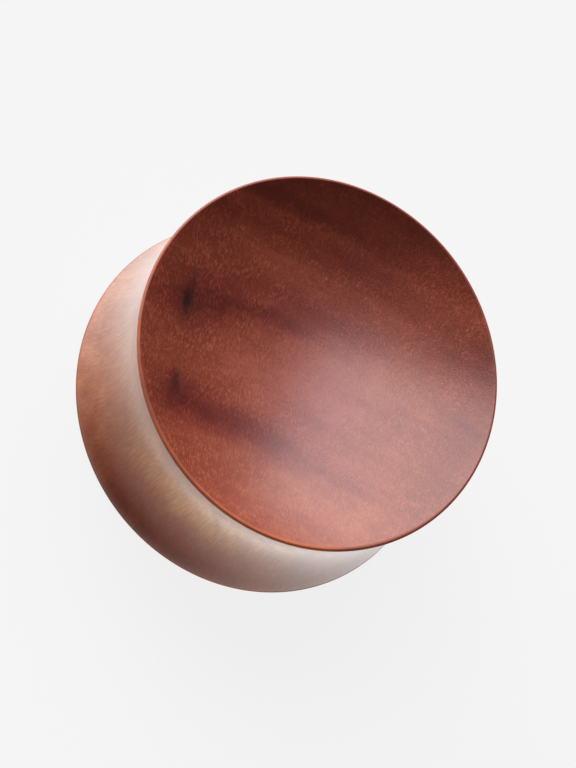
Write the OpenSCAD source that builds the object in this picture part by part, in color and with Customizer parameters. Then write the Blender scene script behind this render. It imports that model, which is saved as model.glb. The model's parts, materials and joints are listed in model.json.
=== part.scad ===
// Saddle plug for a stretched ear lobe, turned from one piece of wood.
// It stands on its back rim with its axis along Z, and the origin is the middle of that rim.

/* [Gauge] */
// Diameter at the waist, where the lobe sits
waist_d = 25; // [12:0.5:50]
// Length from rim to rim
plug_len = 12.25; // [8:0.25:20]
// How far each flare stands proud of the waist
flare_rise = 1; // [0.4:0.1:2]

/* [Rims] */
// Radius of the eased edge of each rim
edge_r = 0.15; // [0.1:0.05:0.4]
// Width of the flat ring on each rim, between the eased edge and the dish
land_w = 0.05; // [0.05:0.05:1]

/* [Faces] */
// Depth of the dish at the middle of each face
dish_depth = 2.2; // [0.5:0.1:3.5]

/* [Hidden] */

// The arcs are long and shallow, so they take many segments
$fn = 360;

// How far the saddle's arc cuts into an eased edge, so that the two cross in one clean line
arc_bite = 0.001;

waist_r = waist_d / 2;
flare_r = waist_r + flare_rise;
mid_z = plug_len / 2;

// Centre of the upper eased edge, which reaches out to the flare's full radius
edge_centre_r = flare_r - edge_r;
edge_centre_z = plug_len - edge_r;

// The saddle is one hollow arc. It is deepest at the waist and runs on into both eased edges.
edge_out = edge_centre_r - waist_r;
edge_up = edge_centre_z - mid_z;
edge_gap = edge_r - arc_bite;
saddle_r = (pow(edge_out, 2) + pow(edge_up, 2) - pow(edge_gap, 2)) / (2 * (edge_out + edge_gap));
saddle_centre_r = waist_r + saddle_r;

// Each dish is the cap of a ball that meets the flat ring at a crisp edge
dish_edge_r = edge_centre_r - land_w;
dish_ball_r = (pow(dish_edge_r, 2) + pow(dish_depth, 2)) / (2 * dish_depth);

// Half section of the turned blank, as radius and height, with its sides aimed at the saddle's centre
module blank_section() {
    polygon([
        [0, 0],
        [edge_centre_r, 0],
        [edge_centre_r, edge_r],
        [saddle_centre_r, mid_z],
        [edge_centre_r, edge_centre_z],
        [edge_centre_r, plug_len],
        [0, plug_len]
    ]);
}

// Half section of the hollow waist between the two flares
module saddle_section() {
    translate([saddle_centre_r, mid_z]) circle(r = saddle_r);
}

// Half section of both eased edges
module edge_sections() {
    for (z = [edge_r, edge_centre_z])
        translate([edge_centre_r, z]) circle(r = edge_r);
}

// Half section of the dishes in the back and front faces
module dish_sections() {
    for (z = [dish_depth - dish_ball_r, plug_len - dish_depth + dish_ball_r])
        translate([0, z]) circle(r = dish_ball_r);
}

module plug() {
    color("sienna")
        rotate_extrude()
            difference() {
                union() {
                    difference() {
                        blank_section();
                        saddle_section();
                    }
                    edge_sections();
                }
                dish_sections();
            }
}

plug();
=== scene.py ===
"""Looks of a turned wooden saddle plug, lying on its back rim under a big softbox and a low strip light.

Lengths in the shape are metres. Lengths in the wood's figure are millimetres, in the part's own frame.
The figure follows the growth rings of the tree: "depth" is the distance outwards across the rings, and "run"
is the distance along them, both from the middle of the plug. Height is along the plug's axis, which is the
way the grain runs, so both faces show end grain and the side shows long grain. In the camera's view of the
front face, the run grows towards the right and the depth towards the top.
"""
import json

import bpy
import numpy as np
from mathutils import Matrix, Vector


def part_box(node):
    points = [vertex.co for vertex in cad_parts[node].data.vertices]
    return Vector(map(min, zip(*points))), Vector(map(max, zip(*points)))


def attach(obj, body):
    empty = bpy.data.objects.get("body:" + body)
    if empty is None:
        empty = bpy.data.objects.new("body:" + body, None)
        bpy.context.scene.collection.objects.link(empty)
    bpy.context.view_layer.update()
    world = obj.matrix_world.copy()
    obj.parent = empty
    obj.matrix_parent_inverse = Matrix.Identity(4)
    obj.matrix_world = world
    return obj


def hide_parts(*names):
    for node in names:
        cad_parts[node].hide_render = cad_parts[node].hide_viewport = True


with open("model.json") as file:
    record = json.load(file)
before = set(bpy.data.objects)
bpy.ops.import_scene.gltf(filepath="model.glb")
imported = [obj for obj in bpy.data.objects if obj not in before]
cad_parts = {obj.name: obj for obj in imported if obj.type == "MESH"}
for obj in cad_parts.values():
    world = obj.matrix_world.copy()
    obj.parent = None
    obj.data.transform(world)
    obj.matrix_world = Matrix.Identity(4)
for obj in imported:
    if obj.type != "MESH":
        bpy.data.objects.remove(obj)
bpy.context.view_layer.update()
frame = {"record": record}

# Sizes of the plug, from the frame
MM = 0.001
low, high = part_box("plug")
mounts = {mount["name"]: mount for mount in frame["record"]["mounts"]}
FLARE_R = (high.x - low.x) / 2
PLUG_LEN = high.z - low.z
WAIST_R = mounts["lobe_waist"]["dims"]["r_mm"] * MM

# Sizes of the small turned details
EDGE_R = 0.15 * MM
DISH_DEPTH = 2.2 * MM

# Fineness of the turned mesh
TURN_STEPS = 448
DISH_STEPS = 48
SADDLE_STEPS = 44
LIP_STEPS = 15

# Where the tree's pith lay, beside the plug, and how far that is from the plug's axis
PITH_X, PITH_Y = 29.0, -47.0
PITH_AWAY = float(np.hypot(PITH_X, PITH_Y))

# How dark the wood is at each depth across the rings, from 0 for the palest to 1 for the darkest. This chart
# and the streaks follow colours measured in the photo along the rings.
DARKNESS_BY_DEPTH = (
    (-14.0, 0.17), (-8.0, 0.18), (-3.0, 0.17), (1.0, 0.17), (4.0, 0.21), (6.5, 0.30),
    (7.8, 0.46), (9.3, 0.50), (10.3, 0.71), (14.0, 0.93),
)

# The streaks, and one band of painted shade along the face's right edge: depth of the middle, reach
# outwards, reach inwards, darkness, and run from start to end. Where the darkness is less than nothing, the
# wood is paler there.
STREAKS_AND_PAINTED_SHADE = (
    (10.6, 0.6, 0.5, 0.12, -14.0, 1.0),
    (8.5, 0.9, 0.9, 0.12, -14.0, 1.5),
    (10.0, 3.0, 2.6, -0.18, 4.0, 14.0),
    (6.4, 1.6, 1.4, 0.18, 7.0, 14.0),
    (6.3, 1.3, 1.5, 0.06, -14.0, -6.5),
    (0.6, 3.6, 3.6, -0.14, -1.5, 6.0),
    (-2.6, 2.2, 1.8, -0.14, -7.0, -1.0),
    (4.3, 0.8, 0.9, 0.18, -7.0, 4.0),
    (2.4, 1.0, 0.9, 0.26, -9.0, 0.0),
    (1.2, 1.1, 1.4, 0.30, -12.5, -6.5),
    (2.0, 0.5, 0.5, 0.18, 10.5, 14.0),
    (-0.4, 0.4, 0.4, 0.10, 3.0, 10.0),
    (-3.3, 0.7, 0.7, 0.10, -0.5, 9.0),
    (-6.2, 1.2, 1.3, 0.38, -11.0, 1.2),
    (-6.2, 1.1, 1.1, 0.16, 1.5, 9.0),
    # This broad row is painted shade along the face's right edge.
    (-2.5, 8.0, 9.0, 0.33, 10.0, 14.0),
    (-11.0, 0.7, 0.7, 0.06, 0.0, 9.0),
    (-1.1, 0.7, 0.7, 0.10, 6.5, 9.5),
    (3.4, 0.6, 0.6, 0.12, -11.5, -7.0),
    (-4.9, 0.6, 0.6, 0.08, -9.0, -6.5),
    (-1.2, 0.8, 0.8, -0.09, -6.0, -3.5),
    (7.0, 2.5, 2.5, -0.06, -7.0, -1.0),
    (-8.5, 0.9, 0.9, -0.07, -8.0, -3.0),
    (-5.0, 0.5, 0.5, 0.07, 6.5, 9.0),
    (3.2, 0.5, 0.5, -0.08, -6.0, -3.5),
    (3.7, 0.7, 0.6, 0.06, 1.0, 5.0),
    (3.2, 0.5, 0.5, 0.08, 0.5, 2.5),
    (-6.5, 0.4, 0.4, 0.12, 2.5, 8.0),
    (-4.3, 0.3, 0.3, 0.07, 2.0, 9.0),
    (-2.0, 0.3, 0.3, 0.07, 4.0, 11.0),
    (0.5, 0.3, 0.3, 0.08, 6.0, 12.0),
)
BAND_FADE = 2.2

# The wood also darkens leftwards: from where, to where, and by how much
DARKER_FROM, DARKER_TO, DARKER_BY = 3.0, -13.0, 0.21

# How far the rings stray, in slow waves and in fine feathers
RING_WAVES, RING_FEATHERS = 1.1, 0.9

# How much darkness the lines along the rings, the blotches and the mottling give and take
RING_LINES, BLOTCHES, MOTTLING = 0.14, 0.24, 0.25

# The short checks, cracks along a ray that have filled with dark oil: run, depth, half length along the
# ray, half width across it, and how dark they are
CHECKS = (
    (-10.1, 1.1, 1.00, 0.32, 0.85),
    (-9.8, 2.3, 1.30, 0.16, 0.50),
    (-9.8, 1.1, 1.90, 1.20, 0.32),
    (-9.9, -4.9, 0.90, 0.36, 0.60),
    (-9.9, -5.0, 1.30, 0.90, 0.22),
)
CHECK_COLOUR = (0.016, 0.008, 0.010)

# The purple stain, which tints the wood, in the streaks and in soft clouds: run, depth, half length, half
# width and strength. A cloud whose strength is less than nothing takes stain away.
STAIN_TINT = (0.92, 0.62, 1.50)
STAIN_IN_STREAKS, STAIN_MOST = 1.15, 0.9
STAIN_CLOUDS = (
    (2.0, -1.0, 6.2, 4.4, 0.52),
    (11.0, 1.5, 3.5, 3.0, 0.15),
    # This cloud takes the stain back out of the painted shade along the right edge.
    (11.5, -5.0, 7.0, 2.5, -0.30),
    (-5.0, -2.5, 1.8, 4.0, 0.12),
)

# How far the sides of a check or cloud stray, and how far the flecks sway
SPOT_RAGGED, FLECK_SWAY = 0.35, 0.5

# The pale flecks are mostly dashes at the left and dots at the right: between which runs they change over,
# and how strong each kind is on either side. Between their patches, the dashes keep a share of their
# strength.
DOTS_FROM, DASHES_FROM = 5.0, -6.0
DASHES_RIGHT, DASHES_LEFT = 0.70, 1.00
DOTS_RIGHT, DOTS_LEFT = 0.95, 0.55
DASHES_OFF_PATCH = 0.3

# How much paler a fleck is than the wood round it: a least amount, a rise with the wood's darkness, a fall
# with the square of that, and more at the left and at the upper right, from where they begin to where they
# are full
FLECK_LEAST, FLECK_RISE, FLECK_FALL = 0.085, 0.56, 0.54
FLECK_LEFT, FLECK_UPPER_RIGHT = 0.05, 0.06
LEFT_RUN = (0.0, -9.0)
UPPER_RIGHT_RUN, UPPER_RIGHT_DEPTH = (3.0, 10.0), (0.0, 8.0)

# How much darker the pores are, how much painted shade darkens the upper right, where the softbox's shine
# spreads too far, and how much darker the whole face is, which makes up for the pale flecks
PORE_SHADE, UPPER_RIGHT_PAINTED_SHADE, FACE_SHADE = 0.14, 0.09, 0.07

# The end grain's colour from the palest to the darkest. Listed after colours measured along the rings, then
# multiplied by three factors that a fit by trial renders gave, so these numbers are partly a program's.
END_GRAIN_COLOURS = (
    (0.00, (0.324, 0.093, 0.049)),
    (0.25, (0.225, 0.0485, 0.0275)),
    (0.50, (0.153, 0.0292, 0.0155)),
    (0.75, (0.103, 0.0187, 0.0098)),
    (1.00, (0.0705, 0.0121, 0.0069)),
)

# How far the surface faces along the axis where long grain turns into end grain
END_GRAIN_FACING = (0.35, 0.75)

# The long grain's colour from the palest to the darkest. Listed, then multiplied by the factors of several
# such fits, with changes between, so these numbers are partly a program's too.
LONG_GRAIN_COLOURS = (
    (0.00, (0.528, 0.198, 0.043)),
    (0.50, (0.305, 0.092, 0.022)),
    (1.00, (0.131, 0.037, 0.011)),
)

# How much the figure, the fibres and the wisps change the long grain's darkness, how dark it is without
# them, and how far the wisps slant along the run with each millimetre of height
SIDE_FIGURE, SIDE_FIBRES, SIDE_WISPS, SIDE_SHADE = 0.60, 0.65, 0.42, 0.29
WISP_SLANT = 0.5

# The painted light and shade on the long grain, in soft clouds: heading in degrees from -Y towards +X,
# height, reach in degrees, reach in millimetres, and the tint there. One is a painted pale sheen at the
# left, with painted shade at its edge by the front rim. One is painted shade near the back rim, and one a
# painted pale sheen above it. The wisps sway them round and up.
SIDE_PAINTED_LIGHT = (
    (-72.0, 5.0, 34.0, 9.0, (0.83, 1.40, 4.20)),
    (-68.0, 11.8, 34.0, 2.6, (0.50, 0.30, 0.15)),
    (12.0, 1.2, 52.0, 4.2, (0.80, 0.34, 0.15)),
    (14.0, 7.4, 30.0, 2.8, (2.05, 3.20, 6.00)),
)
SIDE_PAINTED_LIGHT_SWAY, SIDE_PAINTED_LIGHT_RISE = 30.0, 4.0

# The sanded lip's colour, orange in pale wood and a dull red brown in dark wood, and how much of the wood's
# own colour it covers
LIP_COLOURS = (
    (0.12, (0.370, 0.066, 0.006)),
    (0.35, (0.200, 0.031, 0.009)),
    (0.65, (0.200, 0.029, 0.010)),
    (0.85, (0.110, 0.018, 0.009)),
)
LIP_COVER = 0.85

# How much the lip's colour follows the wood's darkness and how much the run, between two places along it
LIP_BY_WOOD, LIP_BY_RUN = 0.7, 0.3
LIP_RUN = (5.5, 10.5)

# How far in from the flare's edge the lip reaches, how soft its inner edge is, how much wider it is at the
# bottom, the depths between which it widens, and how far below the rim it starts and is full
LIP_REACH, LIP_BLUR, LIP_WIDER = 0.18, 0.05, 0.11
LIP_WIDER_DEPTH = (0.0, -10.0)
LIP_START, LIP_FULL = 0.38, 0.24

# The finish of the wood, and the heights of its fine relief
FACE_ROUGHNESS, LIP_ROUGHNESS = 0.227, 0.627
OILED_FINISH = {"Coat Roughness": 0.29, "Coat IOR": 1.2, "IOR": 1.5}
TURNED_RELIEF, FLECK_RELIEF, PORE_RELIEF = 0.70, 0.25, 0.40
RELIEF_STRENGTH, RELIEF_DISTANCE = 0.14, 0.04 * MM

# The table's half width in metres, and its finish
TABLE_REACH = 3.0
TABLE_FINISH = {
    "Base Color": (0.05, 0.05, 0.05, 1),
    "Roughness": 0.9,
    "Specular IOR Level": 0.0,
    "Emission Color": (1, 1, 1, 1),
}

# The table's glow as the camera and the plug see it. For the plug, it has a dimmer arc in front and a bright
# line at the plug's foot, each with its radius and width in millimetres and its angle and reach in degrees.
CAMERA_GLOW, PLUG_GLOW, ARC_DIM, FOOT_GLOW = 0.85, 1.17, 1.16, 1.60
ARC_RADIUS, ARC_WIDTH = 15.1, 1.2
ARC_ANGLE, ARC_REACH = -3.0, 50.0
FOOT_RADIUS, FOOT_WIDTH = 13.5, 0.30
FOOT_ANGLE, FOOT_REACH = 34.0, 46.0

# How far away the lights are, in metres, and how bright the room is
LIGHT_DISTANCE = 1.5
ROOM_GLOW = 0.03

# The camera: its elevation and roll in degrees, its distance in metres, its focal length and the longer side
# of its picture in pixels, and how far in front of the plug's axis it aims, in millimetres
CAMERA_ELEVATION, CAMERA_ROLL = 62.774, -55.294
CAMERA_DISTANCE = 0.50075
FOCAL_PX, LONG_SIDE_PX = 7238.9, 768
AIM_IN_FRONT = 2.977


def arc(centre, radius, start, end, steps):
    """Points on a circle: centre + radius * (cos a, sin a), with a running evenly from start to end."""
    a = np.linspace(start, end, steps)
    return np.stack([centre[0] + radius * np.cos(a), centre[1] + radius * np.sin(a)], axis=1)


def upper_profile():
    """Radius and height along the front half of the plug, from the waist to the middle of the dish.

    The saddle is one hollow arc from the waist that runs into the rounded lip. The lip turns over the top of
    the rim and runs on into the dish, which is the cap of a ball.
    """
    mid = PLUG_LEN / 2
    lip = (FLARE_R - EDGE_R, PLUG_LEN - EDGE_R)
    out, up = lip[0] - WAIST_R, lip[1] - mid
    saddle_r = (out**2 + up**2 - EDGE_R**2) / (2 * (out + EDGE_R))
    saddle_centre = (WAIST_R + saddle_r, mid)
    end = np.arctan2(up, saddle_centre[0] - lip[0])
    saddle = arc(saddle_centre, saddle_r, np.pi, np.pi - end, SADDLE_STEPS)

    # The ball touches the lip: its centre is on the axis above, ball_r + EDGE_R from the lip's centre
    drop = lip[1] - (PLUG_LEN - DISH_DEPTH)
    ball_r = (lip[0] ** 2 + drop**2 - EDGE_R**2) / (2 * (drop + EDGE_R))
    ball_z = PLUG_LEN - DISH_DEPTH + ball_r
    tilt = np.arctan2(lip[0], ball_z - lip[1])
    rounded = arc(lip, EDGE_R, -end, np.pi / 2 + tilt, LIP_STEPS)
    dish = arc((0.0, ball_z), ball_r, -np.pi / 2 + tilt, -np.pi / 2, DISH_STEPS)
    return np.concatenate([saddle, rounded[1:], dish[1:]])


def plug_profile():
    """Radius and height of the whole section, from the middle of the back face to that of the front."""
    upper = upper_profile()
    lower = upper[::-1] * [1, -1] + [0, PLUG_LEN]
    profile = np.concatenate([lower[:-1], upper])
    profile[[0, -1], 0] = 0.0
    return profile


def add_object(name, data):
    """Put a mesh, a light or a camera into the scene as an object."""
    made = bpy.data.objects.new(name, data)
    bpy.context.scene.collection.objects.link(made)
    return made


def turned_mesh(name, profile, steps):
    """A closed surface of revolution: each point (r, z) of the profile goes to (r cos a, r sin a, z).

    The first and last points lie on the axis. Each becomes one vertex, closed with a fan of triangles.
    """
    angle = np.arange(steps) * 2 * np.pi / steps
    ring_r, ring_z = profile[1:-1, 0], profile[1:-1, 1]
    x = ring_r[:, None] * np.cos(angle)
    y = ring_r[:, None] * np.sin(angle)
    z = np.repeat(ring_z[:, None], steps, axis=1)
    rings = np.stack([x, y, z], axis=2).reshape(-1, 3)
    poles = np.array([[0, 0, profile[0, 1]], [0, 0, profile[-1, 1]]])
    points = np.concatenate([rings, poles])

    count = len(ring_r)
    step = np.arange(steps)
    onward = (step + 1) % steps
    ring = np.arange(count - 1)[:, None] * steps
    beyond = ring + steps
    quads = np.stack([ring + step, ring + onward, beyond + onward, beyond + step], axis=2).reshape(-1, 4)
    back_pole, front_pole = count * steps, count * steps + 1
    last = (count - 1) * steps
    back = np.stack([np.full(steps, back_pole), onward, step], axis=1)
    front = np.stack([np.full(steps, front_pole), last + step, last + onward], axis=1)

    mesh = bpy.data.meshes.new(name)
    mesh.from_pydata(points.tolist(), [], quads.tolist() + back.tolist() + front.tolist())
    mesh.polygons.foreach_set("use_smooth", np.ones(len(mesh.polygons), bool))
    mesh.update()
    return add_object(name, mesh)


class Wire:
    """A value in a node tree that can be reckoned with: each sum adds a Math node and gives a new wire."""

    def __init__(self, tree, socket):
        self.tree, self.socket = tree, socket

    def math(self, operation, *others):
        """The result of a Math node that takes this value and the others."""
        made = self.tree.nodes.new("ShaderNodeMath")
        made.operation = operation
        for socket, value in zip(made.inputs, (self, *others)):
            feed(socket, value)
        return Wire(self.tree, made.outputs[0])

    def __add__(self, other):
        return self.math("ADD", other)

    def __sub__(self, other):
        return self.math("SUBTRACT", other)

    def __mul__(self, other):
        return self.math("MULTIPLY", other)

    def __truediv__(self, other):
        return self.math("DIVIDE", other)

    def from_to(self, first, second):
        """A value that goes from the first number to the second as this one goes from 0 to 1."""
        return self * (second - first) + first

    def flipped(self):
        """One less the value, which turns a mask over."""
        return self.from_to(1.0, 0.0)

    def between(self, start, end):
        """A smooth step from 0 at start to 1 at end, the other way round if end is the lower."""
        return node(self.tree, "ShaderNodeMapRange", {"Value": self, "From Min": start, "From Max": end},
                    interpolation_type="SMOOTHSTEP")["Result"]

    def hump(self):
        """A soft hump from a squared distance: 1 where that is 0, and next to nothing past 4."""
        return (self * -1.0).math("EXPONENT")


def feed(socket, value):
    """Join a wire to a socket, or set a plain value on it."""
    if isinstance(value, Wire):
        value.tree.links.new(value.socket, socket)
    else:
        socket.default_value = value


def node(tree, kind, inputs, **settings):
    """Add a node with its settings, feed its inputs, and give its outputs as wires."""
    made = tree.nodes.new(kind)
    for name, value in settings.items():
        setattr(made, name, value)
    for name, value in inputs.items():
        feed(made.inputs[name], value)
    return {output.name: Wire(tree, output) for output in made.outputs}


def parts(tree, vector):
    """The three parts of a vector, named X, Y and Z."""
    return node(tree, "ShaderNodeSeparateXYZ", {"Vector": vector})


def joined(tree, x, y=0.0, z=0.0):
    """A vector made of three parts."""
    return node(tree, "ShaderNodeCombineXYZ", {"X": x, "Y": y, "Z": z})["Vector"]


def times(tree, vector, factors):
    """A vector or a colour, each part of it multiplied by its own factor."""
    return node(tree, "ShaderNodeVectorMath", {0: vector, 1: factors}, operation="MULTIPLY")["Vector"]


def radius_of(x, y):
    """How far the point (x, y) is from (0, 0)."""
    return (x * x + y * y).math("SQRT")


def heading_of(x, y):
    """The direction of the point (x, y) from (0, 0), in degrees from -Y towards +X."""
    return x.math("ARCTAN2", y * -1.0) / float(np.radians(1.0))


def mixed(tree, share, first, second):
    """A colour that goes from the first to the second as the share goes from 0 to 1."""
    made = tree.nodes.new("ShaderNodeMix")
    made.data_type = "RGBA"
    feed(made.inputs["Factor"], share)
    for socket, colour in zip([i for i in made.inputs if i.type == "RGBA"], (first, second)):
        feed(socket, colour if isinstance(colour, Wire) else (*colour, 1.0))
    return Wire(tree, next(output for output in made.outputs if output.type == "RGBA"))


def ramp_colour(tree, value, stops, interpolation="LINEAR"):
    """A colour read at the value off a ramp, whose stops are each a place from 0 to 1 and a colour."""
    made = tree.nodes.new("ShaderNodeValToRGB")
    ramp = made.color_ramp
    ramp.interpolation = interpolation
    while len(ramp.elements) < len(stops):
        ramp.elements.new(0.5)
    for element, (at, colour) in zip(ramp.elements, stops):
        element.position = at
        element.color = (*colour, 1.0)
    feed(made.inputs["Fac"], value)
    return Wire(tree, made.outputs["Color"])


def noise(tree, vector, stretch, detail=2.0, roughness=0.5):
    """Soft noise from 0 to 1, whose grains are as many millimetres long each way as stretch says."""
    shrunk = times(tree, vector, tuple(1 / length for length in stretch))
    return node(tree, "ShaderNodeTexNoise",
                {"Vector": shrunk, "Scale": 1.0, "Detail": detail, "Roughness": roughness})["Fac"]


def swing(tree, vector, stretch, detail=2.0, roughness=0.5):
    """Soft noise that swings about nothing, from -0.5 to 0.5."""
    return noise(tree, vector, stretch, detail, roughness) - 0.5


def grains(tree, vector, stretch, levels, detail=2.0, roughness=0.5):
    """Mask of separate grains: nothing where noise is below the first level, and full above the second."""
    return noise(tree, vector, stretch, detail, roughness).between(*levels)


def new_group(name, inputs, outputs):
    """An empty node group with number or vector inputs, given with their usual values, and named outputs."""
    tree = bpy.data.node_groups.new(name, "ShaderNodeTree")
    for label, usual in inputs.items():
        kind = "NodeSocketVector" if isinstance(usual, tuple) else "NodeSocketFloat"
        tree.interface.new_socket(label, in_out="INPUT", socket_type=kind).default_value = usual
    for label, kind in outputs.items():
        tree.interface.new_socket(label, in_out="OUTPUT", socket_type=kind)
    given = tree.nodes.new("NodeGroupInput")
    return tree, {output.name: Wire(tree, output) for output in given.outputs if output.name}


def feed_named(sockets, values):
    """Feed sockets by name. An underscore in a value's name stands for a space in the socket's."""
    for name, value in values.items():
        feed(sockets[name.replace("_", " ").capitalize()], value)


def close_group(tree, **results):
    """Feed the group's outputs and give the finished group."""
    feed_named(tree.nodes.new("NodeGroupOutput").inputs, results)
    return tree


def place(tree, group, **inputs):
    """Put a node group into a tree and give its outputs as wires."""
    made = tree.nodes.new("ShaderNodeGroup")
    made.node_tree = group
    feed_named(made.inputs, inputs)
    return {output.name: Wire(tree, output) for output in made.outputs}


def new_material(name, finish):
    """A material with its node tree and its shader, whose sockets take the plain values of the finish."""
    material = bpy.data.materials.new(name)
    material.use_nodes = True
    shader = material.node_tree.nodes["Principled BSDF"]
    for label, value in finish.items():
        shader.inputs[label].default_value = value
    return material, material.node_tree, shader


def grain_place_group():
    """Run, depth and height of a point among the growth rings, which are circles about the pith."""
    tree, given = new_group("grain place", {"Point": (0.0, 0.0, 0.0)}, {"Place": "NodeSocketVector"})
    at = parts(tree, given["Point"])
    x, y = at["X"] - PITH_X, at["Y"] - PITH_Y
    depth = radius_of(x, y) - PITH_AWAY
    # The angle grows towards -X, from the line between the pith and the plug's axis
    turn = (x * -1.0).math("ARCTAN2", y) - float(np.arctan2(PITH_X, -PITH_Y))
    return close_group(tree, place=joined(tree, turn * -PITH_AWAY, depth, at["Z"]))


def band_group():
    """One band along the rings, used for the streaks and for painted shade: a soft hump across the depth,
    faded in and out along the run.
    """
    tree, given = new_group(
        "band",
        {"Run": 0.0, "Depth": 0.0, "Middle": 0.0, "Outwards": 1.0, "Inwards": 1.0, "Darkness": 0.3,
         "Start": -14.0, "End": 14.0, "Fade": 2.0},
        {"Darkness": "NodeSocketFloat"})
    off = given["Depth"] - given["Middle"]
    outer = off.math("MAXIMUM", 0.0) / given["Outwards"]
    inner = off.math("MINIMUM", 0.0) / given["Inwards"]
    share = outer + inner
    fade_in = given["Run"].between(given["Start"] - given["Fade"], given["Start"] + given["Fade"])
    fade_out = given["Run"].between(given["End"] + given["Fade"], given["End"] - given["Fade"])
    return close_group(tree, darkness=(share * share).hump() * fade_in * fade_out * given["Darkness"])


def spot_group():
    """Mask of a soft spot with ragged sides, so long across the rings and so wide along them."""
    tree, given = new_group(
        "spot",
        {"Place": (0.0, 0.0, 0.0), "Run": 0.0, "Depth": 0.0, "Half length": 1.0, "Half width": 0.2,
         "Strength": 0.5},
        {"Mask": "NodeSocketFloat"})
    at = parts(tree, given["Place"])
    ragged = swing(tree, given["Place"], stretch=(0.25, 0.6, 4.0), roughness=0.6)
    along = (at["Y"] - given["Depth"]) / given["Half length"]
    across = (at["X"] - given["Run"] + ragged * SPOT_RAGGED) / given["Half width"]
    return close_group(tree, mask=(along * along + across * across).hump() * given["Strength"])


def spot_mask(tree, spot, at, run, depth, half_length, half_width, strength=1.0):
    """Mask of one spot, placed by its run and depth, or on the side by its heading and height."""
    return place(tree, spot, place=at, run=run, depth=depth, half_length=half_length, half_width=half_width,
                 strength=strength)["Mask"]


def figure_group(spot):
    """Darkness of the wood from its straying, feathered rings and streaks, with painted shade along the
    face's right edge, and its purple stain.
    """
    tree, given = new_group("figure", {"Place": (0.0, 0.0, 0.0)},
                            {"Darkness": "NodeSocketFloat", "Stain": "NodeSocketFloat"})
    here = given["Place"]
    at = parts(tree, here)
    waves = swing(tree, here, stretch=(9.0, 7.0, 40.0), detail=1.0)
    feathers = swing(tree, here, stretch=(1.6, 0.7, 9.0), detail=3.0, roughness=0.65)
    depth = at["Y"] + waves * RING_WAVES + feathers * RING_FEATHERS

    deepest, shallowest = DARKNESS_BY_DEPTH[-1][0], DARKNESS_BY_DEPTH[0][0]
    span = deepest - shallowest
    across = node(tree, "ShaderNodeMapRange",
                  {"Value": depth, "From Min": shallowest, "From Max": deepest})["Result"]
    stops = [((at_depth - shallowest) / span, (dark,) * 3) for at_depth, dark in DARKNESS_BY_DEPTH]
    rings = ramp_colour(tree, across, stops, "EASE")

    band = band_group()
    streaks_and_shade = [place(tree, band, run=at["X"], depth=depth, middle=middle, outwards=outwards,
                     inwards=inwards, darkness=dark, start=start, end=end, fade=BAND_FADE)["Darkness"]
               for middle, outwards, inwards, dark, start, end in STREAKS_AND_PAINTED_SHADE]
    streaked_and_shaded = sum(streaks_and_shade[1:], streaks_and_shade[0])

    lines = swing(tree, here, stretch=(6.0, 0.22, 30.0), roughness=0.6)
    blotches = swing(tree, here, stretch=(3.5, 2.0, 8.0))
    mottling = swing(tree, here, stretch=(1.1, 0.8, 3.0))
    darkness = (rings + streaked_and_shaded + at["X"].between(DARKER_FROM, DARKER_TO) * DARKER_BY
                + lines * RING_LINES + blotches * BLOTCHES + mottling * MOTTLING)

    clouds = [spot_mask(tree, spot, here, *row) for row in STAIN_CLOUDS]
    stain = sum(clouds, streaked_and_shaded.math("MAXIMUM", 0.0) * STAIN_IN_STREAKS)
    return close_group(tree, darkness=darkness, stain=stain.math("MINIMUM", STAIN_MOST))


def fleck_group():
    """Pale flecks, as dashes along the rays and as dots, and pores, dark specks drawn out with the grain."""
    tree, given = new_group("flecks", {"Place": (0.0, 0.0, 0.0)},
                            {"Flecks": "NodeSocketFloat", "Pores": "NodeSocketFloat"})
    here = given["Place"]
    at = parts(tree, here)
    sway = swing(tree, here, stretch=(0.9, 0.7, 3.0), detail=1.0)
    swayed = joined(tree, at["X"] + sway * FLECK_SWAY, at["Y"], at["Z"])
    dashes = grains(tree, swayed, stretch=(0.13, 0.38, 0.34), levels=(0.44, 0.66), detail=1.5)
    dots = grains(tree, here, stretch=(0.09, 0.11, 0.15), levels=(0.42, 0.72), detail=1.0)
    pores = grains(tree, here, stretch=(0.09, 0.12, 0.9), levels=(0.54, 0.74), detail=1.0, roughness=0.4)
    patches = grains(tree, here, stretch=(1.8, 1.5, 3.0), levels=(0.3, 0.62))
    left = at["X"].between(DOTS_FROM, DASHES_FROM)
    flecks = (dashes * patches.from_to(DASHES_OFF_PATCH, 1.0) * left.from_to(DASHES_RIGHT, DASHES_LEFT)
              + dots * left.from_to(DOTS_RIGHT, DOTS_LEFT))
    return close_group(tree, flecks=flecks, pores=pores)


def turning_group():
    """Fine rings left by the turning tool: waves outwards over the faces and upwards over the side."""
    tree, given = new_group("turning marks", {"Point": (0.0, 0.0, 0.0)}, {"Height": "NodeSocketFloat"})
    at = parts(tree, given["Point"])
    tool = radius_of(at["X"], at["Y"]) + at["Z"]
    return close_group(tree, height=noise(tree, joined(tree, tool), stretch=(0.16, 1.0, 1.0), roughness=0.6))


def face_colour(tree, at, figure, marks):
    """The end grain's colour: its figure with pale flecks, dark pores and the purple stain, and painted
    shade at the upper right.
    """
    dark, run = figure["Darkness"], at["X"]
    upper_right = run.between(*UPPER_RIGHT_RUN) * at["Y"].between(*UPPER_RIGHT_DEPTH)
    paler = (dark * FLECK_RISE - dark * dark * FLECK_FALL + run.between(*LEFT_RUN) * FLECK_LEFT
             + FLECK_LEAST + upper_right * FLECK_UPPER_RIGHT)
    # The upper right is darkened with painted shade, where the softbox's shine spreads too far.
    tone = (dark - marks["Flecks"] * paler + marks["Pores"] * PORE_SHADE
            + upper_right * UPPER_RIGHT_PAINTED_SHADE + FACE_SHADE)
    colour = ramp_colour(tree, tone, END_GRAIN_COLOURS)
    return mixed(tree, figure["Stain"], colour, times(tree, colour, STAIN_TINT))


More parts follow.
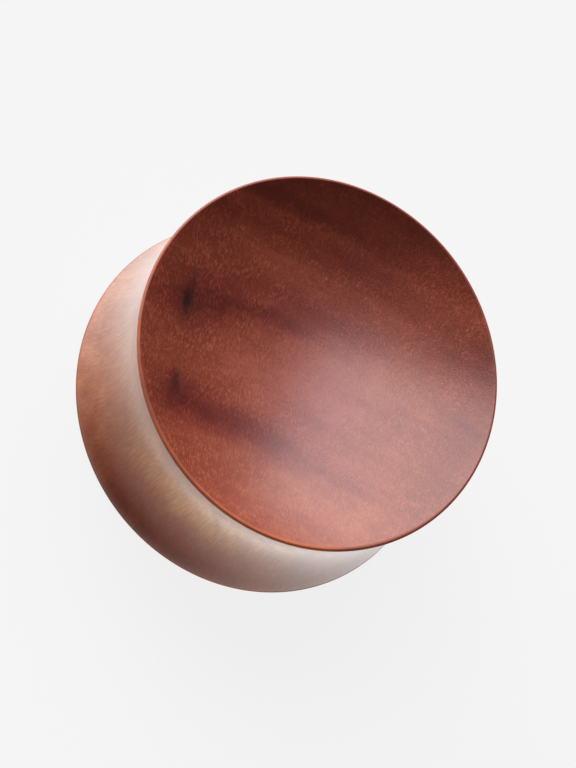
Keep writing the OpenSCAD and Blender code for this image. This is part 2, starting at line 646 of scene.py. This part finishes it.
def side_colour(tree, point, grain, dark, spot):
    """The long grain's colour: its figure with fibres and slanting wisps, and soft clouds of painted light
    and shade over them.
    """
    along, at = parts(tree, point), parts(tree, grain)
    height = along["Z"]
    fibres = swing(tree, grain, stretch=(0.16, 0.16, 1.6), roughness=0.6)
    slanted = joined(tree, at["X"] + height * WISP_SLANT, at["Y"], height)
    wisps = swing(tree, slanted, stretch=(1.6, 1.6, 8.0), detail=1.0)
    tone = dark * SIDE_FIGURE + fibres * SIDE_FIBRES + wisps * SIDE_WISPS + SIDE_SHADE
    colour = ramp_colour(tree, tone, LONG_GRAIN_COLOURS)
    heading = heading_of(along["X"], along["Y"])
    on_side = joined(tree, heading + wisps * SIDE_PAINTED_LIGHT_SWAY, height + wisps * SIDE_PAINTED_LIGHT_RISE)
    # Soft clouds of painted light and shade: a painted pale sheen at the left and above the back rim,
    # painted shade near the back rim and by the front rim on the left.
    for painted_heading, painted_height, reach_round, reach_up, painted_tint in SIDE_PAINTED_LIGHT:
        mask = spot_mask(tree, spot, on_side, painted_heading, painted_height, reach_up, reach_round)
        colour = mixed(tree, mask, colour, times(tree, colour, painted_tint))
    return colour


def lip_mask(along, depth):
    """Mask of the sanded lip, which runs round each rim and a little way down the side."""
    half_length = PLUG_LEN / MM / 2
    inner_edge = FLARE_R / MM - LIP_REACH
    from_waist = (along["Z"] - half_length).math("ABSOLUTE")
    radius = radius_of(along["X"], along["Y"]) + depth.between(*LIP_WIDER_DEPTH) * LIP_WIDER
    return (from_waist.between(half_length - LIP_START, half_length - LIP_FULL)
            * radius.between(inner_edge - LIP_BLUR, inner_edge + LIP_BLUR))


def oiled_wood():
    """Sanded and oiled reddish hardwood, darker in the end grain than along it, with a satin shine."""
    material, tree, shader = new_material("oiled_wood", OILED_FINISH)
    here = node(tree, "ShaderNodeTexCoord", {})
    point = times(tree, here["Object"], (1 / MM,) * 3)
    grain = place(tree, grain_place_group(), point=point)["Place"]
    at = parts(tree, grain)
    spot = spot_group()
    figure = place(tree, figure_group(spot), place=grain)
    marks = place(tree, fleck_group(), place=grain)
    end_grain = parts(tree, here["Normal"])["Z"].math("ABSOLUTE").between(*END_GRAIN_FACING)
    lip = lip_mask(parts(tree, point), at["Y"])

    dark = figure["Darkness"]
    side = side_colour(tree, point, grain, dark, spot)
    colour = mixed(tree, end_grain, side, face_colour(tree, at, figure, marks))
    lip_tone = dark * LIP_BY_WOOD + at["X"].between(*LIP_RUN) * LIP_BY_RUN
    colour = mixed(tree, lip * LIP_COVER, colour, ramp_colour(tree, lip_tone, LIP_COLOURS))
    for row in CHECKS:
        colour = mixed(tree, spot_mask(tree, spot, grain, *row) * end_grain, colour, CHECK_COLOUR)
    feed(shader.inputs["Base Color"], colour)
    feed(shader.inputs["Roughness"], lip.from_to(FACE_ROUGHNESS, LIP_ROUGHNESS))
    feed(shader.inputs["Coat Weight"], end_grain.flipped() * lip.flipped())

    turned = place(tree, turning_group(), point=point)["Height"]
    relief = turned * TURNED_RELIEF + marks["Flecks"] * FLECK_RELIEF - marks["Pores"] * PORE_RELIEF
    bump = node(tree, "ShaderNodeBump",
                {"Strength": RELIEF_STRENGTH, "Distance": RELIEF_DISTANCE, "Height": relief})["Normal"]
    feed(shader.inputs["Normal"], bump)
    return material


def arc_hump(radius, angle, middle, width, toward, reach):
    """A soft hump on a circle of the table, highest at one radius and in one direction."""
    across, around = (radius - middle) / width, (angle - toward) / reach
    return (across * across + around * around).hump()


def light_table():
    """A wide pale floor that glows, as a lit table does, so that the shadow on it stays faint.

    The glow that reaches the plug is stronger than the one that the camera sees. It dims in an arc in front
    of the plug and is brighter along a line at the plug's foot.
    """
    mesh = bpy.data.meshes.new("floor")
    corners = [(x * TABLE_REACH, y * TABLE_REACH, 0) for x, y in ((-1, -1), (1, -1), (1, 1), (-1, 1))]
    mesh.from_pydata(corners, [], [(0, 1, 2, 3)])
    floor = add_object("floor", mesh)
    material, tree, shader = new_material("floor", TABLE_FINISH)
    on_table = parts(tree, node(tree, "ShaderNodeTexCoord", {})["Object"])
    radius = radius_of(on_table["X"], on_table["Y"]) / MM
    angle = heading_of(on_table["X"], on_table["Y"])
    dim_arc = arc_hump(radius, angle, ARC_RADIUS, ARC_WIDTH, ARC_ANGLE, ARC_REACH)
    foot_line = arc_hump(radius, angle, FOOT_RADIUS, FOOT_WIDTH, FOOT_ANGLE, FOOT_REACH)
    glow = dim_arc * -ARC_DIM + PLUG_GLOW + foot_line * FOOT_GLOW
    seen = node(tree, "ShaderNodeLightPath", {})["Is Camera Ray"]
    feed(shader.inputs["Emission Strength"], seen * CAMERA_GLOW + seen.flipped() * glow)
    mesh.materials.append(material)


def softbox(name, azimuth, elevation, spin, half_width, half_height, radiance):
    """A rectangular light that faces the plug, placed by its azimuth and elevation and turned by its spin.

    The three angles are in degrees and the half sizes are shares of the light's distance. Its power is
    radiance * pi * area.
    """
    width, height = 2 * half_width * LIGHT_DISTANCE, 2 * half_height * LIGHT_DISTANCE
    light = bpy.data.lights.new(name, "AREA")
    light.shape = "RECTANGLE"
    light.size, light.size_y = width, height
    light.energy = radiance * np.pi * width * height
    az, el = np.radians(azimuth), np.radians(elevation)
    toward = Vector((np.cos(el) * np.cos(az), np.cos(el) * np.sin(az), np.sin(el)))
    side = Vector((0, 0, 1)).cross(toward).normalized()
    facing = Matrix((side, toward.cross(side), toward)).transposed()
    spun = facing @ Matrix.Rotation(np.radians(spin), 3, "Z")
    lamp = add_object(name, light)
    lamp.matrix_world = Matrix.Translation(toward * LIGHT_DISTANCE) @ spun.to_4x4()
    lamp.visible_camera = False


def studio_light():
    """One big softbox overhead, to the back left, a low strip light on the left, and a dim room."""
    softbox("softbox", azimuth=149.8, elevation=49.4, spin=-28.5, half_width=0.634, half_height=0.404,
            radiance=5.23)
    softbox("strip_light", azimuth=163.0, elevation=7.7, spin=0.0, half_width=0.35, half_height=0.117,
            radiance=39.6)
    world = bpy.data.worlds.new("room")
    world.use_nodes = True
    background = world.node_tree.nodes["Background"]
    background.inputs["Color"].default_value = (1, 1, 1, 1)
    background.inputs["Strength"].default_value = ROOM_GLOW
    bpy.context.scene.world = world
    bpy.context.scene.view_settings.view_transform = "Standard"


def camera():
    """A long lens above the plug's near side, rolled so that the front face looks up and to the right."""
    elevation, roll = np.radians(CAMERA_ELEVATION), np.radians(CAMERA_ROLL)
    aim = Vector((0.0, -AIM_IN_FRONT * MM, PLUG_LEN))
    back = Vector((0, -np.cos(elevation), np.sin(elevation)))
    data = bpy.data.cameras.new("camera")
    data.lens = FOCAL_PX / LONG_SIDE_PX * data.sensor_width
    data.clip_start, data.clip_end = 0.01, 10
    view = add_object("camera", data)
    view.location = aim + back * CAMERA_DISTANCE
    upright = back.to_track_quat("Z", "Y").to_matrix()
    view.rotation_mode = "QUATERNION"
    view.rotation_quaternion = (upright @ Matrix.Rotation(-roll, 3, "Z")).to_quaternion()
    bpy.context.scene.camera = view


plug = turned_mesh("turned_plug", plug_profile(), TURN_STEPS)
plug.data.materials.append(oiled_wood())
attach(plug, "root")
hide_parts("plug")
light_table()
studio_light()
camera()
